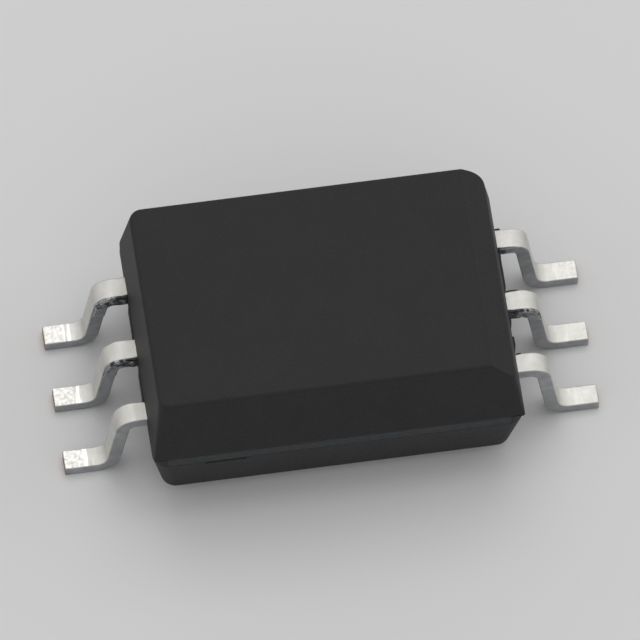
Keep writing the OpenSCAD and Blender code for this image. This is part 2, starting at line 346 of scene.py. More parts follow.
class BodyPlan:
    """Heights and half sizes of the body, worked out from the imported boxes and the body's sizes."""

    def __init__(self, sizes, leads):
        low, high = corners("body")
        self.bottom, self.top = low[2], high[2]
        self.half_l = high[0] - sizes.flash
        self.half_w = high[1]
        self.band_top = corners("lead_2")[1][2]
        self.band_bottom = self.band_top - leads.thickness
        upper = self.top - self.band_top
        bevel_half_l = self.half_l - upper * math.tan(sizes.bevel_side_draft)
        self.bevel_line = bevel_half_l - sizes.bevel + upper
        self.bevel_foot = self.top - sizes.bevel / (1 - math.tan(sizes.bevel_side_draft))
        self.slot_low = self.band_bottom - sizes.slot_height


def body_heights(plan, sizes):
    """Heights of the body's rings: close together at rolls, slot, band and bevel, wider on the plain walls."""
    turn = np.radians(np.linspace(0, 90, 10))
    slot_top = plan.band_bottom - HAIR
    low_wall = plan.bottom + sizes.low_roll * 1.15
    parts = [
        plan.bottom + sizes.low_roll * (1 - np.cos(turn)),
        np.linspace(low_wall, plan.slot_low - 4 * HAIR, 10),
        plan.slot_low + np.array([-HAIR, HAIR]),
        np.linspace(plan.slot_low + 4 * HAIR, slot_top - 4 * HAIR, 3),
        plan.band_bottom + np.array([-2 * HAIR, HAIR]),
        np.linspace(plan.band_bottom + 4 * HAIR, plan.band_top - 4 * HAIR, 9),
        plan.band_top + np.array([-HAIR, HAIR, 4 * HAIR, 8 * HAIR, 12 * HAIR]),
        np.linspace(plan.band_top + 20 * HAIR, plan.bevel_foot - 0.06 * MM, 12),
        plan.bevel_foot + np.linspace(-0.05, 0.05, 9) * MM,
        np.linspace(plan.bevel_foot + 0.07 * MM, plan.top - sizes.top_roll - 4 * HAIR, 7),
        plan.top - sizes.top_roll * (1 - np.sin(turn)),
    ]
    return np.unique(np.concatenate(parts).round(9))


def corner_axes(plan, sizes, z, inset):
    """Half axes of the four upright corners at each height, in the order that outline takes them.

    A radius runs from the lip's to the top's over the upper half, less what the rolls take off. Where the bevel
    cuts inset off the +X side, a corner keeps the part of its circle that lies beyond the cut."""
    upper = z >= plan.band_top
    top_past = np.clip(z - plan.top + sizes.top_roll, 0, sizes.top_roll)
    low_past = np.clip(plan.bottom + sizes.low_roll - z, 0, sizes.low_roll)
    rolled = sum(r - np.sqrt(r ** 2 - past ** 2)
                 for r, past in ((sizes.top_roll, top_past), (sizes.low_roll, low_past)))
    rise = np.clip((z - plan.band_top) / (plan.top - plan.band_top), 0, 1)

    def radius(at_top, at_lip):
        full = np.where(upper, at_lip + (at_top - at_lip) * rise, sizes.low_corner)
        return np.maximum(full - rolled, LEAST_CORNER)

    def cut(radii):
        left = np.clip(radii - inset, 0, None)
        across = np.hypot(left, LEAST_CORNER)
        along = np.hypot(radii - np.sqrt(np.clip(radii ** 2 - left ** 2, 0, None)), LEAST_CORNER)
        whole = inset < HAIR / 10
        return np.where(whole, radii, across), np.where(whole, radii, along)

    front = radius(sizes.front_corner, sizes.lip_corner)
    back = radius(sizes.back_corner, sizes.back_corner)
    bevelled = radius(sizes.bevel_corner, sizes.back_corner)
    return [cut(front), cut(bevelled), (back, back), (front, front)]


def relief(plan, sizes, z, place, side):
    """How far each point of the walls stands out, and how torn it is, from 0 to 1.

    place is the place along a side. Flash strips stand out, and the torn band, the groove over it and the
    gate's slot lie in."""
    height = z[:, None]
    band = window(height, plan.band_bottom, plan.band_top, HAIR) * np.ones(len(side))
    ends = (side == 1) | (side == 3)
    on = {1: side == 0, -1: side == 2}
    strip = sum(on[sign] * share * window(place, start, end, HAIR) for sign, start, end, share in STRIPS)
    ragged_edge = 0.85 + 0.15 * ragged(place + 3 * MM * side, 0.12 * MM, FLASH_SEED)
    out = band * strip * sizes.flash * ragged_edge

    fine = ragged(place + 5 * height, 0.11 * MM, FINE_SEED)
    coarse = ragged(3 * height + place, 0.25 * MM, COARSE_SEED)
    tear_depth = 0.014 * MM
    out -= band * ends * tear_depth * (0.5 + 0.5 * fine * coarse)

    groove = window(height, plan.band_top, plan.band_top + 8 * HAIR, 4 * HAIR)
    groove_depth = (0.016 + 0.008 * ragged(place, 0.3 * MM, GROOVE_SEED)) * MM
    out -= groove * ends * groove_depth

    taper = np.clip((place - SLOT[0]) / (SLOT[1] - SLOT[0]), 0, 1) ** 0.5 * window(place, *SLOT, HAIR)
    slot = taper * window(height, plan.slot_low, plan.band_bottom, HAIR) * (side == 3)
    out -= slot * sizes.slot_depth
    return out, np.clip(band * (strip + ends), 0, 1)


def top_cap(plan, crown):
    """Rings that shrink from the crown to the middle of the top face."""
    middle = np.array([crown[:, 0].min() + crown[:, 0].max(), 0, 2 * plan.top]) / 2
    return middle + (crown - middle) * np.linspace(1, 0, 15)[1:-1, None, None]


def underside(plan, sizes, base):
    """Rings from the middle of the ejector mark, over its rim, out to the base ring."""
    angle = np.arctan2(base[:, 1], base[:, 0])
    circle = np.stack([np.cos(angle), np.sin(angle), np.zeros(len(angle))], axis=-1)
    rim = np.array([0, 0, plan.bottom]) + circle * sizes.mark_radius
    flat = base + (rim - base) * np.linspace(0, 1, 10)[1:, None, None]
    mark_floor = np.array([0, 0, plan.bottom + sizes.mark_depth])
    mark = mark_floor + circle * (sizes.mark_radius - HAIR) * np.array([1, 0.6, 0.2])[:, None, None]
    return np.concatenate([mark[::-1], flat[::-1]])


def body_surface(plan, sizes):
    """Body as rings of points from the middle of the underside to the middle of the top, and how torn each is.

    Each ring is a plan outline at one height. Its sides follow the drafted walls, its +X side the bevel where
    that lies further in, and its corners lose what the bevel cuts off. The relief then moves the points."""
    z = body_heights(plan, sizes)
    upper, lower = z >= plan.band_top, z <= plan.band_bottom

    def half(at, lean, low_lean):
        top = wall(z, at, plan.band_top, lean, plan.top, sizes.top_roll)
        low = wall(z, at, plan.band_bottom, low_lean, plan.bottom, sizes.low_roll)
        return np.where(upper, top, np.where(lower, low, at))

    far_x = half(plan.half_l, sizes.side_draft, sizes.low_side_draft)
    under_x = half(plan.half_l, sizes.bevel_side_draft, sizes.low_side_draft)
    half_y = half(plan.half_w, sizes.end_draft, sizes.low_end_draft)
    face = wall(z, plan.bevel_line, plan.band_top, BEVEL_ANGLE, plan.top, sizes.top_roll)
    near_x = np.where(upper, soft_min(under_x, face, BEVEL_BLEND), under_x)

    y_end = plan.half_w - sizes.low_corner
    x_end = plan.half_l - sizes.low_corner
    y_line = stations(-y_end, y_end, SIDE_STEP, [end for _, *ends, _ in STRIPS for end in ends])
    x_line = stations(-x_end, x_end, END_STEP, SLOT)
    shares_x = (y_line + y_end) / (2 * y_end)
    shares_y = (x_line + x_end) / (2 * x_end)
    axes = corner_axes(plan, sizes, z, under_x - near_x)
    plan_points, side, way = outline(-far_x, near_x, half_y, axes, shares_x, shares_y, 14)

    place = np.zeros(len(side))
    for number, line in enumerate((y_line, x_line[::-1], y_line[::-1], x_line)):
        place[side == number] = line
    out, wall_torn = relief(plan, sizes, z, place, side)
    walls = np.concatenate([plan_points, np.repeat(z[:, None], len(side), axis=1)[:, :, None]], axis=-1)
    walls[:, :, :2] += out[:, :, None] * way

    below = underside(plan, sizes, walls[0])
    rings = np.concatenate([below, walls, top_cap(plan, walls[-1])])
    torn = np.zeros(rings.shape[:2])
    torn[len(below):len(below) + len(z)] = wall_torn
    return rings, torn


# Crumbs of resin by the roots of the leads: middle along X and Y, and half sizes along X and Y
CRUMBS = (
    (3.43 * MM, 1.470 * MM, 0.060 * MM, 0.022 * MM),
    (3.51 * MM, 0.200 * MM, 0.140 * MM, 0.026 * MM),
    (3.41 * MM, -0.200 * MM, 0.050 * MM, 0.040 * MM),
    (3.44 * MM, -1.070 * MM, 0.055 * MM, 0.020 * MM),
    (-3.39 * MM, -1.070 * MM, 0.040 * MM, 0.022 * MM),
    (-3.41 * MM, 1.075 * MM, 0.050 * MM, 0.020 * MM),
)


def crumb(x, y, half_x, half_y, plan, seed):
    """Superellipsoid, a box with round edges: each place is its half size times a root of the sphere's place."""
    turn = np.linspace(0, 2 * np.pi, 24, endpoint=False)
    rise = np.linspace(-np.pi / 2, np.pi / 2, 12)[1:-1, None]

    def rooted(value):
        return np.sign(value) * np.abs(value) ** 0.4

    half_z = (plan.band_top - plan.band_bottom) * 0.48
    ring = np.stack([rooted(np.cos(rise) * np.cos(turn)) * half_x, rooted(np.cos(rise) * np.sin(turn)) * half_y,
                     rooted(np.sin(rise) * np.ones(len(turn))) * half_z], axis=-1)
    wear_off = 0.88 + 0.12 * ragged(turn * MM + rise * MM, 0.9 * MM, seed)
    ring[:, :, :2] *= wear_off[:, :, None]
    points, faces = skin(ring + np.array([x, y, (plan.band_top + plan.band_bottom) / 2]))
    return points, faces, {"torn": np.ones(len(points))}


# ---------------------------------------------------------------- leads

class Formed:
    """How one lead came out of the forming tool.

    leg, foot and tip are shifts of the leg outwards, of the foot along Y and of the tip outwards. rub says how
    brightly the foot is rubbed. residue and reach are the width and reach of the resin on its front edge."""

    def __init__(self, leg=0.0, foot=0.0, tip=0.0, rub=0.0, residue=0.0, reach=0.0):
        self.leg, self.foot, self.tip = leg * MM, foot * MM, tip * MM
        self.rub, self.residue, self.reach = rub, residue * MM, reach * MM


FORMED = {
    "lead_1": Formed(foot=-0.011, tip=-0.004, rub=0.2),
    "lead_2": Formed(foot=0.010, rub=0.2, residue=0.085, reach=0.80),
    "lead_3": Formed(leg=-0.010, foot=-0.003, rub=0.3, residue=0.025, reach=0.35),
    "lead_4": Formed(leg=0.012, foot=0.007, rub=0.8, residue=0.085, reach=0.95),
    "lead_5": Formed(foot=0.008, tip=-0.004, rub=0.9, residue=0.080, reach=0.85),
    "lead_6": Formed(leg=-0.034, foot=0.002, tip=-0.010, rub=1.0),
}


def gull_path(leads, top_z, tip_x, leg_shift, start_x):
    """Middle line of a gull wing from start_x to the tip: places, upward normals and lengths from the start.

    Straight out, round the shoulder, down the leg, round the heel and along the foot. Each bend is an arc
    whose middle lies where the two straight stretches' outer faces have their common circle."""
    t = leads.thickness
    lean = leads.leg_angle
    half_turn = (math.pi / 2 - lean) / 2
    heel_x = tip_x - leads.foot + leg_shift
    knee_x = heel_x - (top_z - t) * math.tan(lean)
    knee = np.array([knee_x - leads.shoulder * math.tan(half_turn), top_z - leads.shoulder])
    heel = np.array([heel_x + leads.heel * math.tan(half_turn), t + leads.heel])
    bend = np.linspace(math.pi / 2, lean, 28)
    bend_way = np.stack([np.cos(bend), np.sin(bend)], axis=-1)
    knee_arc = knee + bend_way * (leads.shoulder - t / 2)
    heel_arc = heel - bend_way[::-1] * (leads.heel + t / 2)
    way_in = np.linspace(start_x, knee_arc[0][0], 30)[:-1]
    shelf = np.stack([way_in, np.full(len(way_in), top_z - t / 2)], axis=-1)
    leg = knee_arc[-1] + (heel_arc[0] - knee_arc[-1]) * np.linspace(0, 1, 14)[1:-1, None]
    way_out = np.linspace(heel_arc[-1][0], tip_x, 20)[1:]
    foot = np.stack([way_out, np.full(len(way_out), t / 2)], axis=-1)
    places = np.concatenate([shelf, knee_arc, leg, heel_arc, foot])
    up = np.array([[0.0, 1.0]])
    leg_way = np.repeat(bend_way[-1:], len(leg), axis=0)
    normals = np.concatenate([np.repeat(up, len(shelf), axis=0), bend_way, leg_way, bend_way[::-1],
                              np.repeat(up, len(foot), axis=0)])
    steps = np.linalg.norm(np.diff(places, axis=0), axis=1)
    return places, normals, np.concatenate([[0], np.cumsum(steps)])


def edge_ring(edge):
    """Rounded rectangle of half size 1 by 1: places as shares of the half sizes, and moves in edge radii.

    A point lies at share * half size + move * edge. Returns shares, moves and which face each point is on
    (0 top or bottom, 1 a side), going round from the middle of the underside."""
    turn = np.radians(np.linspace(0, 90, 6))
    flat = np.linspace(-1, 1, 9)[1:-1]
    shares, moves, on_side = [], [], []
    for first, corner in ((-90, (1, -1)), (0, (1, 1)), (90, (-1, 1)), (180, (-1, -1))):
        angle = turn + math.radians(first)
        shares.append(np.repeat([corner], len(turn), axis=0))
        moves.append(np.stack([np.cos(angle), np.sin(angle)], axis=-1) - np.array(corner))
        on_side.append(np.abs(np.cos(angle)))
        step = {(1, -1): (1, flat), (1, 1): (-flat, 1), (-1, 1): (-1, -flat), (-1, -1): (flat, -1)}[corner]
        shares.append(np.stack(np.broadcast_arrays(*[np.asarray(s, float) for s in step]), axis=-1))
        moves.append(np.zeros((len(flat), 2)))
        on_side.append(np.full(len(flat), float(corner in ((1, -1), (-1, 1)))))
    return np.concatenate(shares), np.concatenate(moves) * edge, np.concatenate(on_side)


def sweep(places, normals, left, right, thickness, edge, side_x):
    """Strip carried along a path in the XZ plane: rings of points with rounded edges and closed ends.

    places and normals give the middle line and the way to its upper face. left and right are the Y values of
    the strip's two sides at each place. side_x is 1 or -1 and mirrors the strip to the -X side."""
    shares, moves, on_side = edge_ring(edge)
    half_t = thickness / 2
    mid_y, half_w = (left + right) / 2, (right - left) / 2

    def ring_at(index, shrink):
        across = mid_y[index, None] + (shares[:, 0] * (half_w[index, None] - shrink) + moves[:, 0])
        along = shares[:, 1] * (half_t - shrink) + moves[:, 1]
        base = places[index][:, None, :] + normals[index][:, None, :] * along[None, :, None]
        return np.stack([base[:, :, 0], across, base[:, :, 1]], axis=-1)

    rings = ring_at(np.arange(len(places)), 0)
    tangent = np.gradient(places, axis=0)
    tangent /= np.linalg.norm(tangent, axis=1)[:, None]
    round_off = 0.4 * edge

    def shifted(ring, way, distance):
        return ring + np.array([way[0], 0, way[1]]) * distance

    start = ring_at(np.array([0]), round_off)
    end = ring_at(np.array([len(places) - 1]), round_off)
    rings[0] = shifted(rings[0], tangent[0], round_off)
    rings[-1] = shifted(rings[-1], -tangent[-1], round_off)
    rings = np.concatenate([start, rings, end])
    rings[:, :, 0] *= side_x
    return rings, on_side


def residue_skin(places, normals, length, edge_y, leads, formed, body_half_l, number, side_x):
    """Resin left on the front edge of a lead: a ragged strip that thins out from the body to its reach."""
    from_body = length - np.interp(body_half_l, places[:, 0], length)
    keep = (from_body > -0.02 * MM) & (from_body < formed.reach)
    share = np.clip(from_body[keep] / formed.reach, 0, 1)
    rag = ragged(from_body[keep], 0.09 * MM, RESIDUE_SEED + number)
    width = formed.residue * (1 - 0.55 * share ** 2) * (0.86 + 0.14 * rag)
    edge, overlap = 0.03 * MM, 0.03 * MM
    rings, on_side = sweep(places[keep], normals[keep], edge_y[keep] - width, edge_y[keep] + overlap,
                           leads.thickness * 0.96, edge, side_x)
    torn = 1 - 0.5 * np.concatenate([[0], share, [1]])[:, None]
    return *skin(rings), lead_values(rings, length[keep], length[-1], np.ones(len(on_side)), torn, 0)


def add_lead(number, leads, body_half_l):
    """Lead with its gull wing outside and its flat way, ramp and plates inside the body."""
    name = f"lead_{number}"
    y, side_x = feet()[name]
    formed = FORMED[name]
    low, high = corners(name)
    pitch = abs(feet()["lead_3"][0])
    row = round(y / pitch)
    top_z = corners("lead_2")[1][2]
    tip_x = max(abs(low[0]), abs(high[0])) + formed.tip
    places, normals, length = gull_path(leads, top_z, tip_x, formed.leg - formed.tip, RAMP_OUTER)
    out = np.clip((places[:, 0] - body_half_l) / (tip_x - leads.foot - body_half_l), 0, 1)
    blend = out * out * (3 - 2 * out)
    half = leads.width / 2 - leads.shelf_waist * (1 - blend)
    dam_x = body_half_l + leads.stub_start
    dam = window(places[:, 0], dam_x, dam_x + leads.stub_length, DAM_EASE)
    dam = leads.stub * dam * (places[:, 1] > top_z / 2)
    middle = y + formed.foot * blend
    rings, on_side = sweep(places, normals, middle - half - dam * (row > -1), middle + half + dam * (row < 1),
                           leads.thickness, leads.edge, side_x)
    parts = [(*skin(rings), lead_values(rings, length, length[-1], on_side, 0, formed.rub))]
    if formed.residue:
        parts.append(residue_skin(places, normals, length, middle - half, leads, formed, body_half_l,
                                  number, side_x))
    parts += inner_plates(name, leads, low, high, row, y)
    piece = add_piece(name + "_formed", parts)
    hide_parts(name)
    return piece


def lead_values(rings, length, total, on_side, torn, rub):
    """What the tin finish reads: millimetres to the tip, side faces for the painted shade, resin, cut end and
    rubbed foot.
    """
    full = np.ones(rings.shape[:2])
    tip = 0 * full
    tip[-1] = length[-1] == total
    along = (total - np.concatenate([[length[0]], length, [length[-1]]]))[:, None] / MM
    # sheared is 1 on the side faces, where the tin finish paints shade, and blends over the rounded edges
    values = {"along": along * full, "sheared": on_side * full, "torn": torn * full,
              "tip": tip, "rub": rub * full}
    return {key: np.concatenate([v.ravel(), [v[0].mean(), v[-1].mean()]]) for key, v in values.items()}


def straight_strip(x1, z1, x2, z2, y1, y2, leads):
    """Flat or sloping strip between two places, as one closed skin with rounded edges."""
    share = np.linspace(0, 1, 8)
    blend = share * share * (3 - 2 * share)
    places = np.stack([x1 + (x2 - x1) * share, z1 + (z2 - z1) * blend], axis=-1)
    slope = np.gradient(places, axis=0)
    slope /= np.linalg.norm(slope, axis=1)[:, None]
    normals = np.stack([-slope[:, 1], slope[:, 0]], axis=-1)
    side = np.ones(len(places))
    rings, on_side = sweep(places, normals, y1 * side, y2 * side, leads.thickness, leads.edge, 1)
    steps = np.zeros(len(places))
    return *skin(rings), lead_values(rings, steps - 3 * MM, 0, on_side, 0, 0)


def inner_plates(name, leads, low, high, row, y):
    """The sealed pieces of a lead: ramp to its own level, arm along the row, and paddle or flag.

    Levels come from the die attaches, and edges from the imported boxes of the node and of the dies."""
    t = leads.thickness
    side_x = 1 if high[0] > -low[0] else -1
    lead_z = corners("lead_2")[1][2] - t / 2
    raised = corners("emitter_attach")[1][2] + t / 2
    lowered = corners("detector_attach")[0][2] - t / 2
    level = {"lead_2": lead_z}.get(name, raised if side_x > 0 else lowered)
    half = leads.width / 2
    if name == "lead_2":
        return [straight_strip(low[0], lead_z, low[0] + leads.width, lead_z, low[1], high[1], leads)]
    plates = []
    ramp = [straight_strip(RAMP_INNER, level, RAMP_OUTER, lead_z, y - half, y + half, leads),
            straight_strip(RAMP_INNER - RAMP_LAP, level, RAMP_INNER, level, y - half, y + half, leads)]
    for points, faces, values in ramp:
        points[:, 0] *= side_x
        plates.append((points, [f[:, ::-1] for f in faces] if side_x < 0 else faces, values))
    inner = low[0] if side_x > 0 else high[0]
    if name == "lead_5":
        plates.append(straight_strip(-RAMP_INNER, level, inner, level, low[1], high[1], leads))
        return plates
    arm_y = (low[1], low[1] + leads.width) if row < 0 else (high[1] - leads.width, high[1])
    arm_x = (min(0, side_x * RAMP_INNER), max(0, side_x * RAMP_INNER))
    if name == "lead_6":
        arm_y = (low[1], high[1])
    plates.append(straight_strip(arm_x[0], level, arm_x[1], level, arm_y[0], arm_y[1], leads))
    if name in ("lead_1", "lead_3", "lead_4"):
        plates.append(straight_strip(-abs(inner), level, abs(inner), level, low[1], high[1], leads))
    return plates


# ---------------------------------------------------------------- finishes

class Finish:
    """Node tree of one material, with Object coordinates in millimetres as its ground."""

    def __init__(self, name):
        self.material = bpy.data.materials.new(name)
        self.material.use_nodes = True
        self.tree = self.material.node_tree
        self.shader = self.tree.nodes["Principled BSDF"]
        self.place = self.node("ShaderNodeMapping", Scale=(1 / MM, 1 / MM, 1 / MM))
        self.link(self.node("ShaderNodeTexCoord").outputs["Object"], self.place.inputs["Vector"])

    def node(self, kind, settings=None, **values):
        made = self.tree.nodes.new(kind)
        for key, value in (settings or {}).items():
            setattr(made, key, value)
        for key, value in values.items():
            made.inputs[key.replace("_", " ")].default_value = value
        return made

    def link(self, output, socket):
        self.tree.links.new(output, socket)
        return output

    def set(self, **values):
        for key, value in values.items():
            self.shader.inputs[key.replace("_", " ")].default_value = value

    def noise(self, scale, detail=3.0, roughness=0.55, stretch=None, vector=None):
        """Noise of that many cells a millimetre, stretched along an axis where stretch says so."""
        source = vector or self.place.outputs[0]
        if stretch:
            mapping = self.node("ShaderNodeMapping", Scale=stretch)
            self.link(source, mapping.inputs["Vector"])
            source = mapping.outputs[0]
        made = self.node("ShaderNodeTexNoise", Scale=scale, Detail=detail, Roughness=roughness)
        self.link(source, made.inputs["Vector"])
        return made.outputs["Fac"]

    def remap(self, value, from_low, from_high, to_low, to_high):
        made = self.node("ShaderNodeMapRange", From_Min=from_low, From_Max=from_high,
                         To_Min=to_low, To_Max=to_high)
        self.link(value, made.inputs["Value"])
        return made.outputs["Result"]

    def math(self, operation, first, second):
        made = self.node("ShaderNodeMath", {"operation": operation})
        for socket, value in zip(made.inputs, (first, second)):
            if isinstance(value, (int, float)):
                socket.default_value = value
            else:
                self.link(value, socket)
        return made.outputs[0]

    def mix(self, share, first, second):
        made = self.node("ShaderNodeMix", {"data_type": "RGBA"})
        sockets = (made.inputs["Factor"], made.inputs[6], made.inputs[7])
        for socket, value in zip(sockets, (share, first, second)):
            if isinstance(value, (int, float)):
                socket.default_value = value
            elif isinstance(value, (tuple, list)):
                socket.default_value = (*value[:3], 1)
            else:
                self.link(value, socket)
        return made.outputs[2]

    def attribute(self, name):
        return self.node("ShaderNodeAttribute", {"attribute_name": name}).outputs["Fac"]

    def bumps(self, *layers):
        """Bump nodes one after another, each (height, strength, depth in metres)."""
        before = None
        for height, strength, depth in layers:
            bump = self.node("ShaderNodeBump", Strength=strength, Distance=depth)
            self.link(height, bump.inputs["Height"])
            if before:
                self.link(before, bump.inputs["Normal"])
            before = bump.outputs[0]
        self.link(before, self.shader.inputs["Normal"])


def shade(colour, factor):
    """Colour times factor."""
    return tuple(c * factor for c in colour)


CRUST_DARK, CRUST_PALE = (0.010, 0.010, 0.010), (0.055, 0.055, 0.056)  # resin left on a lead


def resin_finish(colours):
    """Filled epoxy: near black, finely grained by the eroded mould, greyer and streaked where it was torn."""
    made = Finish("moulding_compound")
    made.set(Roughness=0.62, Specular_IOR_Level=0.3)
    resin, torn_resin = tuple(colours.resin), tuple(colours.torn_resin)
    patches = made.remap(made.noise(1.6, 4), 0.35, 0.65, 0, 1)
    grain = made.noise(26, 4, 0.6)
    filler = made.remap(made.noise(70, 2), 0.56, 0.70, 0, 1)
    plain = made.mix(patches, shade(resin, 0.9), shade(resin, 1.1))
    speckled = made.mix(made.math("MULTIPLY", filler, 0.35), plain, shade(resin, 1.9))
    torn = made.attribute("torn")
    streaks = made.remap(made.noise(7, 5, 0.65, stretch=(1, 1, 6)), 0.38, 0.62, 0, 1)
    ripped = made.mix(streaks, shade(torn_resin, 0.7), shade(torn_resin, 1.3))
    made.link(made.mix(torn, speckled, ripped), made.shader.inputs["Base Color"])
    made.link(made.remap(grain, 0.3, 0.7, 0.56, 0.70), made.shader.inputs["Roughness"])
    made.bumps((grain, 0.55, 0.012 * MM), (made.noise(75, 2), 0.35, 0.005 * MM))
    return made.material


def rubbed_foot(made):
    """Share of rubbed tin: scuffs from the tip to the middle of the foot, and bars across it by the heel."""
    along = made.attribute("along")
    scuffs = made.remap(made.noise(16, 5, 0.7), 0.42, 0.60, 0, 1)
    scuffed = made.math("MULTIPLY", made.remap(along, 0.34, 0.42, 1, 0), scuffs)
    past_foot, before_heel = made.remap(along, 0.33, 0.36, 0, 1), made.remap(along, 0.50, 0.54, 1, 0)
    by_heel = made.math("MULTIPLY", past_foot, before_heel)
    bars = made.remap(made.noise(11, 2, stretch=(1, 0.12, 1)), 0.48, 0.56, 0, 1)
    rubbed = made.math("MAXIMUM", scuffed, made.math("MULTIPLY", by_heel, bars))
    return made.math("MULTIPLY", rubbed, made.attribute("rub"))


def resin_patches(made):
    """Share of resin left on the tin: whole where torn is 1, and broken into patches where it is less."""
    torn = made.attribute("torn")
    bare = made.math("MULTIPLY", made.math("SUBTRACT", 1.02, torn), 0.55)
    patches = made.remap(made.math("SUBTRACT", made.noise(10, 5, 0.65), bare), 0.34, 0.46, 0, 1)
    return made.math("MULTIPLY", patches, made.remap(torn, 0.02, 0.1, 0, 1))


def tin_finish(colours):
    """Matte tin: fine grain, rubbed feet, side faces painted darker grey as shade, cut copper ends and resin by
    the dam bar.
    """
    made = Finish("matte_tin")
    made.set(Metallic=1.0, Roughness=0.5)
    tin, side_shade_tin, copper = tuple(colours.tin), tuple(colours.sheared), tuple(colours.copper)
    clouds = made.remap(made.noise(4.5, 4), 0.3, 0.7, 0, 1)
    grain = made.noise(45, 3)
    rubbed, resin = rubbed_foot(made), resin_patches(made)
    face = made.mix(clouds, shade(tin, 0.93), shade(tin, 1.07))
    bright = made.mix(rubbed, face, shade(tin, 1.35))
    # Painted shade: the side faces take a darker grey, for the lower light that falls on them
    sides = made.mix(clouds, shade(side_shade_tin, 0.85), shade(side_shade_tin, 1.15))
    base = made.mix(made.attribute("sheared"), bright, sides)
    ended = made.mix(made.attribute("tip"), base, copper)
    crust = made.mix(made.noise(18, 4, 0.7), CRUST_DARK, CRUST_PALE)
    made.link(made.mix(resin, ended, crust), made.shader.inputs["Base Color"])
    made.link(made.math("SUBTRACT", 1.0, resin), made.shader.inputs["Metallic"])
    matte = made.remap(grain, 0.3, 0.7, 0.46, 0.60)
    polished = made.math("SUBTRACT", matte, made.math("MULTIPLY", rubbed, 0.14))
    made.link(polished, made.shader.inputs["Roughness"])
    crusty = made.math("MULTIPLY", made.noise(20, 4, 0.7), resin)
    made.bumps((grain, 0.4, 0.006 * MM), (made.noise(14, 3), 0.3, 0.01 * MM), (crusty, 0.8, 0.03 * MM))
    return made.material


def plain_finish(name, colour, roughness, metallic, grain_scale, spread):
    """Finish for a sealed piece: a colour that drifts by spread with a fine grain, and a slight bump."""
    made = Finish(name)
    made.set(Roughness=roughness, Metallic=metallic)
    drift = made.remap(made.noise(grain_scale, 3), 0.3, 0.7, 0, 1)
    made.link(made.mix(drift, shade(colour, 1 - spread), shade(colour, 1 + spread)),
              made.shader.inputs["Base Color"])
    made.bumps((made.noise(grain_scale * 3, 2), 0.3, 0.002 * MM))
    return made.material


def silicone_finish():
    """Clear soft silicone with faint clouds."""
    made = Finish("clear_silicone")
    made.set(Roughness=0.12, IOR=1.41, Transmission_Weight=0.95)
    drift = made.remap(made.noise(2, 3), 0.3, 0.7, 0, 1)
    made.link(made.mix(drift, (0.84, 0.88, 0.90), (0.92, 0.94, 0.95)), made.shader.inputs["Base Color"])
    made.bumps((made.noise(8, 2), 0.15, 0.004 * MM))
    return made.material


# Finishes of the sealed pieces: name, colour, roughness, metallic, grain cells a millimetre, spread of colour
SILVER = ("cured_silver_epoxy", (0.52, 0.52, 0.50), 0.6, 0.3, 40, 0.15)
GOLD = ("drawn_gold", (0.90, 0.66, 0.24), 0.22, 1.0, 60, 0.05)
INSIDE = {
    "emitter_attach": SILVER,
    "detector_attach": SILVER,
    "emitter_die": ("emitter_crystal", (0.30, 0.22, 0.18), 0.35, 0.0, 30, 0.10),
    "detector_die": ("passivated_silicon", (0.10, 0.12, 0.20), 0.22, 0.4, 8, 0.12),
    "emitter_wire": GOLD,
    "supply_wire": GOLD,
    "output_wire_a": GOLD,
    "output_wire_b": GOLD,
    "ground_wire": GOLD,
}


def wear(piece, material):
    """Gives every material slot of a piece the same material."""
    piece.data.materials.clear()
    piece.data.materials.append(material)


# ---------------------------------------------------------------- operators

class CHIP_OT_mould_body(bpy.types.Operator):
    """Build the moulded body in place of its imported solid"""
    bl_idname = "chip.mould_body"
    bl_label = "Mould the body"

    def execute(self, context):
        sizes = context.scene.chip_body
        plan = BodyPlan(sizes, context.scene.chip_leads)
        rings, torn = body_surface(plan, sizes)
        points, faces = skin(rings)
        values = {"torn": np.concatenate([torn.ravel(), [0, 0]])}
        crumbs = [crumb(*place, plan, CRUMB_SEED + k) for k, place in enumerate(CRUMBS)]
        piece = add_piece("moulded_body", [(points, faces, values), *crumbs])
        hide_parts("body")
        wear(piece, resin_finish(context.scene.chip_finishes))
        return {"FINISHED"}


class CHIP_OT_form_leads(bpy.types.Operator):
    """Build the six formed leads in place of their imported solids"""
    bl_idname = "chip.form_leads"
    bl_label = "Form the leads"

    def execute(self, context):
        sizes = context.scene.chip_leads
        plan = BodyPlan(context.scene.chip_body, sizes)
        tin = tin_finish(context.scene.chip_finishes)
        for number in range(1, LEAD_COUNT + 1):
            wear(add_lead(number, sizes, plan.half_l), tin)
        return {"FINISHED"}


class CHIP_OT_finish_inside(bpy.types.Operator):
    """Give the sealed dies, wires and silicone their finishes"""
    bl_idname = "chip.finish_inside"
    bl_label = "Finish the inside"

    def execute(self, context):
        made = {}
        for node, (name, *values) in INSIDE.items():
            if name not in made:
                made[name] = plain_finish(name, *values)
            wear(frame["nodes"][node], made[name])
        wear(frame["nodes"]["light_guide"], silicone_finish())
        return {"FINISHED"}


# Soft square lamps: name, place, size in metres and power in watts
LAMPS = (
    ("overhead_box", (0.01, 0.05, 0.16), 0.12, 0.06),
    ("left_box", (-0.16, -0.02, 0.08), 0.10, 0.012),
    ("right_box", (0.16, 0.02, 0.10), 0.10, 0.018),
)
FLOOR_HALF = 0.6
FLOOR_SINK = 0.001 * MM  # depth of the floor under the feet, so that the two don't flicker
BACKDROP_LIGHT = 0.45  # strength with which the backdrop lights the object


def area_lamp(name, place, size, watts, aim):
    """Square soft lamp at a place, turned to aim."""
    data = bpy.data.lights.new(name, "AREA")
    data.size = size
    data.energy = watts
    lamp = bpy.data.objects.new(name, data)
    lamp.location = place
    lamp.rotation_euler = (aim - Vector(place)).to_track_quat("-Z", "Y").to_euler()
    bpy.context.scene.collection.objects.link(lamp)


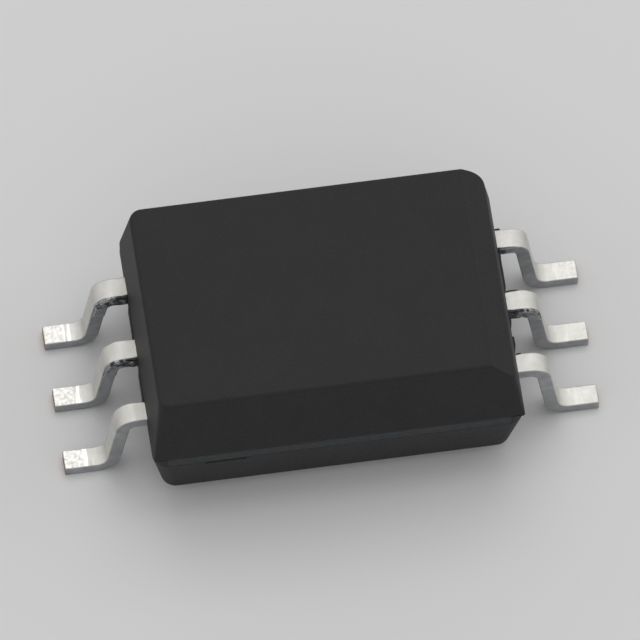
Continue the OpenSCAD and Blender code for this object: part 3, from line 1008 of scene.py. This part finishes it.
def pale_backdrop():
    """World that is white to the camera, in gloss and through glass, and lights the object less strongly."""
    world = bpy.data.worlds.new("pale_backdrop")
    world.use_nodes = True
    tree = world.node_tree
    rays = tree.nodes.new("ShaderNodeLightPath")
    seen = rays.outputs["Is Camera Ray"]
    for kind in ("Is Glossy Ray", "Is Transmission Ray"):
        either = tree.nodes.new("ShaderNodeMath")
        either.operation = "MAXIMUM"
        tree.links.new(seen, either.inputs[0])
        tree.links.new(rays.outputs[kind], either.inputs[1])
        seen = either.outputs[0]
    level = tree.nodes.new("ShaderNodeMapRange")
    level.inputs["To Min"].default_value = BACKDROP_LIGHT
    level.inputs["To Max"].default_value = 1.0
    tree.links.new(seen, level.inputs["Value"])
    background = tree.nodes["Background"]
    background.inputs["Color"].default_value = (1, 1, 1, 1)
    tree.links.new(level.outputs[0], background.inputs["Strength"])
    return world


def add_floor(colour):
    """Wide flat floor in a matte colour, just under the feet."""
    half, z = FLOOR_HALF, -FLOOR_SINK
    mesh = bpy.data.meshes.new("floor")
    square = [(-half, -half, z), (half, -half, z), (half, half, z), (-half, half, z)]
    mesh.from_pydata(square, [], [(0, 1, 2, 3)])
    floor = bpy.data.objects.new("floor", mesh)
    bpy.context.scene.collection.objects.link(floor)
    matte = bpy.data.materials.new("pale_floor")
    matte.use_nodes = True
    shader = matte.node_tree.nodes["Principled BSDF"]
    shader.inputs["Base Color"].default_value = (*colour, 1)
    shader.inputs["Roughness"].default_value = 0.9
    shader.inputs["Specular IOR Level"].default_value = 0.0
    mesh.materials.append(matte)


def add_camera(stage, aim):
    """Camera that looks at aim from the stage's azimuth and elevation, rolled about its line of sight."""
    data = bpy.data.cameras.new("camera")
    camera = bpy.data.objects.new("camera", data)
    bpy.context.scene.collection.objects.link(camera)
    az, el, roll = stage.azimuth, stage.elevation, stage.roll
    back = Vector((math.sin(az) * math.cos(el), -math.cos(az) * math.cos(el), math.sin(el)))
    right = Vector((math.cos(az), math.sin(az), 0))
    up = back.cross(right)
    turned_right = right * math.cos(roll) + up * math.sin(roll)
    turned_up = up * math.cos(roll) - right * math.sin(roll)
    turn = Matrix((turned_right, turned_up, back)).transposed().to_4x4()
    camera.matrix_world = Matrix.Translation(aim + back * stage.distance) @ turn
    data.lens = data.sensor_width * stage.distance / stage.view_width
    data.clip_start = stage.distance / 10
    data.clip_end = stage.distance * 4
    return camera


class CHIP_OT_set_stage(bpy.types.Operator):
    """Set the floor, the soft lamps, the pale backdrop and the camera"""
    bl_idname = "chip.set_stage"
    bl_label = "Set the stage"

    def execute(self, context):
        scene, stage = context.scene, context.scene.chip_stage
        scene.view_settings.view_transform = "Standard"
        add_floor(stage.floor)
        scene.world = pale_backdrop()
        aim = Vector(stage.aim)
        for lamp in LAMPS:
            area_lamp(*lamp, aim)
        scene.camera = add_camera(stage, aim)
        return {"FINISHED"}


class CHIP_PT_panel(bpy.types.Panel):
    """Lists the steps and the sizes of the package"""
    bl_idname = "CHIP_PT_panel"
    bl_label = "Chip package"
    bl_space_type = "VIEW_3D"
    bl_region_type = "UI"
    bl_category = "Chip"

    def draw(self, context):
        for operator in OPERATORS:
            self.layout.operator(operator.bl_idname)
        for group, _ in GROUPS:
            settings = getattr(context.scene, group)
            box = self.layout.box()
            for key in type(settings).__annotations__:
                box.prop(settings, key)


GROUPS = [("chip_body", BodySizes), ("chip_leads", LeadSizes),
          ("chip_finishes", Finishes), ("chip_stage", StageSettings)]
OPERATORS = [CHIP_OT_set_stage, CHIP_OT_mould_body, CHIP_OT_form_leads, CHIP_OT_finish_inside]


def register():
    """Registers the settings, the operators and the panel."""
    for name, group in GROUPS:
        bpy.utils.register_class(group)
        setattr(bpy.types.Scene, name, bpy.props.PointerProperty(type=group))
    for operator in OPERATORS:
        bpy.utils.register_class(operator)
    bpy.utils.register_class(CHIP_PT_panel)


def unregister():
    """Removes what register added."""
    bpy.utils.unregister_class(CHIP_PT_panel)
    for operator in reversed(OPERATORS):
        bpy.utils.unregister_class(operator)
    for name, group in reversed(GROUPS):
        delattr(bpy.types.Scene, name)
        bpy.utils.unregister_class(group)


def main():
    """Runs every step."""
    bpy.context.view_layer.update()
    register()
    bpy.ops.chip.set_stage()
    bpy.ops.chip.mould_body()
    bpy.ops.chip.form_leads()
    bpy.ops.chip.finish_inside()
    bpy.context.view_layer.update()


if __name__ == "__main__":
    main()
